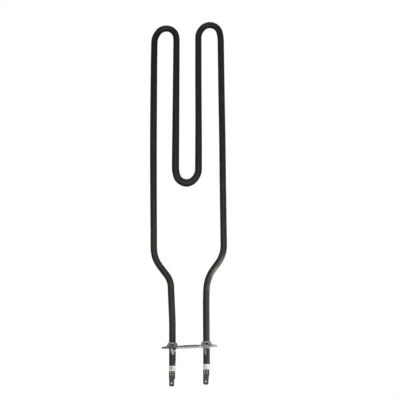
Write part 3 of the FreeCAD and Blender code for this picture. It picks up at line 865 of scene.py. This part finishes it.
for cut in (BOW_START, BOW_TOP_START, BOW_TOP_END, BOW_END):
    everything = plate_build.verts[:] + plate_build.edges[:] + plate_build.faces[:]
    bmesh.ops.bisect_plane(plate_build, geom=everything, plane_co=(cut * MM, 0, 0), plane_no=(1, 0, 0))
for vertex in plate_build.verts:
    x, y, z = vertex.co / MM
    if y < RIM_WIDTH - PLATE_HALF_DEPTH and z - x * PLATE_SLOPE > SHEET - RIM_WIDTH:
        rising = (x - BOW_START) / (BOW_TOP_START - BOW_START)
        falling = (BOW_END - x) / (BOW_END - BOW_TOP_END)
        vertex.co.z += BOW_RISE * min(max(min(rising, falling), 0), 1) * MM
print("the rim bows up by", BOW_RISE, "mm")

# %% [markdown]
# Staking pushed the collars' outer walls out a little, and left their bores as they were. The walls are
# cones, so the vertices close to that cone are moved straight out from the tail's axis.

# %% Wider collars
COLLAR_HEIGHT = 4.85
LIP_RADIUS = 5.3
COLLAR_SPREAD = 2.1
COLLAR_SWELL = 0.4
SKIN_INSIDE, SKIN_OUTSIDE = 0.3, 2
ABOVE_SHEET = 0.1


def swell_collars(build):
    for vertex in build.verts:
        x, y, z = vertex.co / MM
        tail = math.copysign(TAIL_X, x)
        above = z - x * PLATE_SLOPE - SHEET
        reach = math.hypot(x - tail, y)
        wall = LIP_RADIUS + COLLAR_SPREAD * (1 - above / COLLAR_HEIGHT)
        if above > ABOVE_SHEET and wall - SKIN_INSIDE < reach < wall + SKIN_OUTSIDE:
            vertex.co.x = (tail + (x - tail) * (1 + COLLAR_SWELL / reach)) * MM
            vertex.co.y = y * (1 + COLLAR_SWELL / reach) * MM


swell_collars(plate_build)
finish_piece("pressed_plate", plate_mesh, plate_build, zinc, "mounting_plate")

# %% [markdown]
# ## The bushes' ceramic
#
# Each bush is fired ceramic: matt, off-white, a little warmer and more soiled on the left. The left one
# has a brown smear where flux ran down the pin, and the right one two faint rings from the die. The
# colour is kept under full white, because a pale surface in plain light would otherwise clip.

# %% Ceramic
TAIL_END = {"left": -22.8, "right": -20.9}
SIDE_SIGN = {"left": -1, "right": 1}
CERAMIC = {"left": srgb(214, 212, 204), "right": srgb(218, 215, 215)}
SOILED_CERAMIC = {"left": srgb(178, 175, 160), "right": srgb(192, 189, 190)}
MARK_COLOUR = {"left": srgb(112, 108, 92), "right": srgb(172, 166, 172)}
FLUX_SMEAR = (((-22.1, -24.3), (-21.7, -27.2), 1.7, 1.4, 1.4, 0.9),)
DIE_RINGS = {"left": (), "right": (2.4, 4.5)}


def ceramic_marks(finish, side):
    """The smear on the left bush, or the rings on the right one."""
    x, y, z = finish.axes()
    if side == "left":
        blot = finish.noise(1.5, seed=6.0, detail=5)
        return bands(x, z, FLUX_SMEAR, blot, soft=0.7) * y.ramp(0.5, -0.5)
    rings = [abs(z - (TAIL_END[side] - depth)).ramp(0.55, 0.2) for depth in DIE_RINGS[side]]
    return highest(*rings) * 0.35


def fired_ceramic(side):
    finish = Finish(f"fired_ceramic_{side}", Roughness=0.62, Specular_IOR_Level=0.3)
    cloud = finish.noise(2.4, seed=3.0)
    speck = finish.noise(0.6, seed=8.0)
    marks = ceramic_marks(finish, side)
    colour = finish.mix(cloud.ramp(0.45, 0.75), CERAMIC[side], SOILED_CERAMIC[side])
    finish.feed("Base Color", finish.mix(marks, colour, MARK_COLOUR[side]))
    finish.bump(cloud + speck * 0.4 - marks, 0.06)
    return finish.material


print("rings from the die, below the tube's end:", DIE_RINGS["right"], "mm")

# %% [markdown]
# ## The bushes' shape
#
# A bush is round about its pin, so its half section is spun. A cylinder would do for the flange alone,
# but the section also carries the shank inside the tube, the bore and the die's shallow grooves.

# %% Half section of a bush
FLANGE_RADIUS = 4.2
FLANGE_HEIGHT = 6.55
SHANK_RADIUS = 3.45
SHANK_HEIGHT = 6.0
BUSH_BORE = 1.4
GROOVE_DEPTH = 0.08
GROOVE_HALF = 0.25


def bush_profile(grooves):
    """The bush's half section, from the bore's lower rim round the outside to its upper rim."""
    yield BUSH_BORE, -FLANGE_HEIGHT
    yield FLANGE_RADIUS, -FLANGE_HEIGHT
    for depth in sorted(grooves, reverse=True):
        yield FLANGE_RADIUS, -depth - GROOVE_HALF
        yield FLANGE_RADIUS - GROOVE_DEPTH, -depth
        yield FLANGE_RADIUS, -depth + GROOVE_HALF
    yield FLANGE_RADIUS, 0
    yield SHANK_RADIUS, 0
    yield SHANK_RADIUS, SHANK_HEIGHT
    yield BUSH_BORE, SHANK_HEIGHT


print("corners of the right bush's half section:", len(list(bush_profile(DIE_RINGS["right"]))))

# %% [markdown]
# The section is a closed ring of vertices, and a full turn joins its end to its start. The bevel then
# rounds the rims as pressed ceramic is rounded.

# %% Spun bushes
RIM_ROUNDING = 0.35
SPIN_STEPS = 72


def spun_bush(side):
    tail = SIDE_SIGN[side] * TAIL_X * MM
    build = bmesh.new()
    ring = [build.verts.new((tail + radius * MM, 0, (TAIL_END[side] + height) * MM))
            for radius, height in bush_profile(DIE_RINGS[side])]
    edges = [build.edges.new(pair) for pair in zip(ring, ring[1:] + ring[:1])]
    bmesh.ops.spin(build, geom=ring + edges, cent=(tail, 0, 0), axis=(0, 0, 1), angle=math.tau,
                   steps=SPIN_STEPS, use_merge=True)
    rims = [edge for edge in build.edges if edge.calc_face_angle(0) > SHARP_ANGLE]
    bmesh.ops.bevel(build, geom=rims, offset=RIM_ROUNDING * MM, offset_type="OFFSET", segments=3,
                    profile=0.5, material=-1, affect="EDGES", clamp_overlap=True)
    bmesh.ops.recalc_face_normals(build, faces=build.faces)
    return bpy.data.meshes.new(f"{side}_bush"), build


for side in ("left", "right"):
    mesh, build = spun_bush(side)
    finish_piece(f"{side}_bush", mesh, build, fired_ceramic(side), f"{side}_insulator")

# %% [markdown]
# ## The tabs' metal
#
# Nickel-plated steel that has gone brown and dull with heat. The four spots where it was welded to the pin
# are painted bright, with a darker ring of scale round each. The spots are placed from the tail's axis and
# end, so the same numbers serve both tabs, and the beads below as well.

# %% Tab finish
WELD_COLUMNS = (-2.4, 0.6)
WELD_ROWS = (8.25, 11.05)
WELD_RADIUS = 0.65
BROWN_NICKEL, WORN_NICKEL = srgb(50, 46, 45), srgb(70, 65, 64)
WELD_SCALE = srgb(44, 41, 40)
WELD_SPOT = srgb(156, 151, 146)
BRIGHT_SPECK = srgb(116, 110, 106)


def weld_places(side):
    """The middles of the spot welds, across and up, in millimetres."""
    for column in WELD_COLUMNS:
        for row in WELD_ROWS:
            yield SIDE_SIGN[side] * TAIL_X + column, TAIL_END[side] - row


def reach_from(place, x, z):
    """The distance from a place on the front."""
    across, up = x - place[0], z - place[1]
    return (across * across + up * up).math("SQRT")


def heated_tab(side):
    finish = Finish(f"heated_tab_{side}", Metallic=0.35, Specular_IOR_Level=0.2)
    x, y, z = finish.axes()
    cloud = finish.noise(1.8, seed=4.0)
    speck = finish.noise(0.5, seed=6.0)
    front = y.ramp(0, -0.7)
    reaches = [reach_from(place, x, z) for place in weld_places(side)]
    spots = highest(*[reach.ramp(WELD_RADIUS + 0.25, WELD_RADIUS) for reach in reaches])
    scale = highest(*[reach.ramp(1.5, 1.0) for reach in reaches])
    colour = finish.mix(cloud.ramp(0.35, 0.7), BROWN_NICKEL, WORN_NICKEL)
    colour = finish.mix(scale * front * 0.5, colour, WELD_SCALE)
    colour = finish.mix(spots * front, colour, WELD_SPOT)
    finish.feed("Base Color", finish.mix(speck.ramp(0.6, 0.75) * 0.35, colour, BRIGHT_SPECK))
    finish.feed("Roughness", 0.5 + cloud * 0.2)
    finish.bump(speck, 0.03)
    return finish.material


print("spot welds on a tab:", len(list(weld_places("left"))))

# %% [markdown]
# ## The tabs' shape
#
# Around each spot weld stands a thin bead of melted metal. There is no operator for a ring, so a small
# circle is spun about the weld. The bead's middle lies in the tab's front face, so half of it is sunk in.

# %% Weld beads
TAB_FRONT = -1.55
BEAD_RADIUS = 0.14
BEAD_SIDES = 10
BEAD_STEPS = 28


def raise_weld_beads(build, side):
    for across, up in weld_places(side):
        centre = Vector((across, TAB_FRONT, up)) * MM
        rim = centre + Vector((WELD_RADIUS + BEAD_RADIUS, 0, 0)) * MM
        made = bmesh.ops.create_circle(build, cap_ends=False, segments=BEAD_SIDES, radius=BEAD_RADIUS * MM)
        circle = made["verts"]
        bmesh.ops.translate(build, verts=circle, vec=rim)
        edges = {edge for vertex in circle for edge in vertex.link_edges}
        bmesh.ops.spin(build, geom=circle + list(edges), cent=centre, axis=(0, 1, 0), angle=math.tau,
                       steps=BEAD_STEPS, use_merge=True)


print("a bead is", 2 * BEAD_RADIUS, "mm thick")

# %% [markdown]
# Two things tell the tabs from the drawing. Scale has made both latch holes smaller than they were
# punched, and the right blade was cut a little wide, with a right side that narrows slowly down to its
# tip. Both are small moves of vertices that are there already.

# %% Blades
BLADE_OFFSET = -1.0
HOLE_FROM_TIP = 4.0
HOLE_ZONE = 1.3
HOLE_LEFT_OPEN = 0.78
BLADE_AXIS = 20.25
BLADE_TIP = -46.25
BLADE_TOP = -37.65
SHOULDER = 1
BLADE_SIDES = (2.5, 3.3)
WIDER_LEFT = 0.3
WIDER_RIGHT = 0.45


def close_hole(build, side):
    """Draw the latch hole's wall in towards its middle."""
    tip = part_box(f"{side}_tab_terminal")[0][2] / MM
    centre = Vector((SIDE_SIGN[side] * TAIL_X + BLADE_OFFSET, 0, tip + HOLE_FROM_TIP)) * MM
    for vertex in build.verts:
        offset = vertex.co - centre
        if math.hypot(offset.x, offset.z) < HOLE_ZONE * MM:
            vertex.co.x = centre.x + offset.x * HOLE_LEFT_OPEN
            vertex.co.z = centre.z + offset.z * HOLE_LEFT_OPEN


def widen_right_blade(build):
    for vertex in build.verts:
        across = vertex.co.x / MM - BLADE_AXIS
        if BLADE_SIDES[0] < abs(across) < BLADE_SIDES[1] and vertex.co.z / MM < BLADE_TOP + SHOULDER:
            share = (vertex.co.z / MM - BLADE_TIP) / (BLADE_TOP - BLADE_TIP)
            vertex.co.x += (WIDER_RIGHT * share if across > 0 else -WIDER_LEFT) * MM


print("the right blade is", WIDER_LEFT + WIDER_RIGHT, "mm wider at its top")

# %% [markdown]
# The tabs are then made like the plate: a softened copy, its changes, and the finish.

# %% Tabs
TAB_ROUNDING = 0.12 * MM

for side in ("left", "right"):
    mesh, build = softened_copy(f"{side}_tab_terminal", f"{side}_tab", TAB_ROUNDING)
    close_hole(build, side)
    if side == "right":
        widen_right_blade(build)
    raise_weld_beads(build, side)
    bmesh.ops.recalc_face_normals(build, faces=build.faces)
    finish_piece(f"{side}_tab", mesh, build, heated_tab(side), f"{side}_tab_terminal")

# %% [markdown]
# ## What the tube holds
#
# The pins show behind the tabs. The seals, the winding and the powder are closed in. All get the plain
# finish of what they are: drawn steel, red silicone, heating wire and pressed white powder. One function
# makes all four, because they differ only in colour, grain and gloss.

# %% Inner finishes
GRAIN_DEPTH = 0.02


def plain(name, light, dark, size, metallic, roughness):
    """A finish that only clouds between two close colours, with blotches of a size in millimetres."""
    finish = Finish(name, Metallic=metallic)
    cloud = finish.noise(size, seed=9.0)
    finish.feed("Base Color", finish.mix(cloud.ramp(0.3, 0.7), dark, light))
    finish.feed("Roughness", cloud * 0.15 + roughness)
    finish.bump(cloud, GRAIN_DEPTH)
    return finish.material


pin_steel = plain("drawn_steel", srgb(150, 147, 143), srgb(118, 114, 110), 1.5, 0.8, 0.4)
silicone = plain("red_silicone", srgb(150, 66, 48), srgb(132, 54, 40), 2.0, 0.0, 0.5)
wire = plain("heating_wire", srgb(150, 146, 140), srgb(120, 116, 112), 0.8, 0.8, 0.4)
powder = plain("pressed_powder", srgb(226, 225, 220), srgb(208, 207, 202), 1.0, 0.0, 0.9)
print("inner finishes:", [material.name for material in (pin_steel, silicone, wire, powder)])

# %% [markdown]
# The pins and the seals keep their own meshes and only change material. The winding and the powder run
# through the bows and the flattened bend, so they are copied and bent with the same function as the tube.
# Otherwise they would break through its wall.

# %% Inner pieces


def assign(node, material):
    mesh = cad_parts[node].data
    for index in range(len(mesh.materials)):
        mesh.materials[index] = material
    print(node, "is finished in", material.name)


for side in ("left", "right"):
    assign(f"{side}_cold_pin", pin_steel)
    assign(f"{side}_seal", silicone)
for node, material, slot in (
    ("resistance_coil", wire, "coil_metal"),
    ("insulating_powder", powder, "powder"),
):
    mesh, build = bent_copy(node, f"bent_{node}")
    finish_piece(f"bent_{node}", mesh, build, material, node)

# %% [markdown]
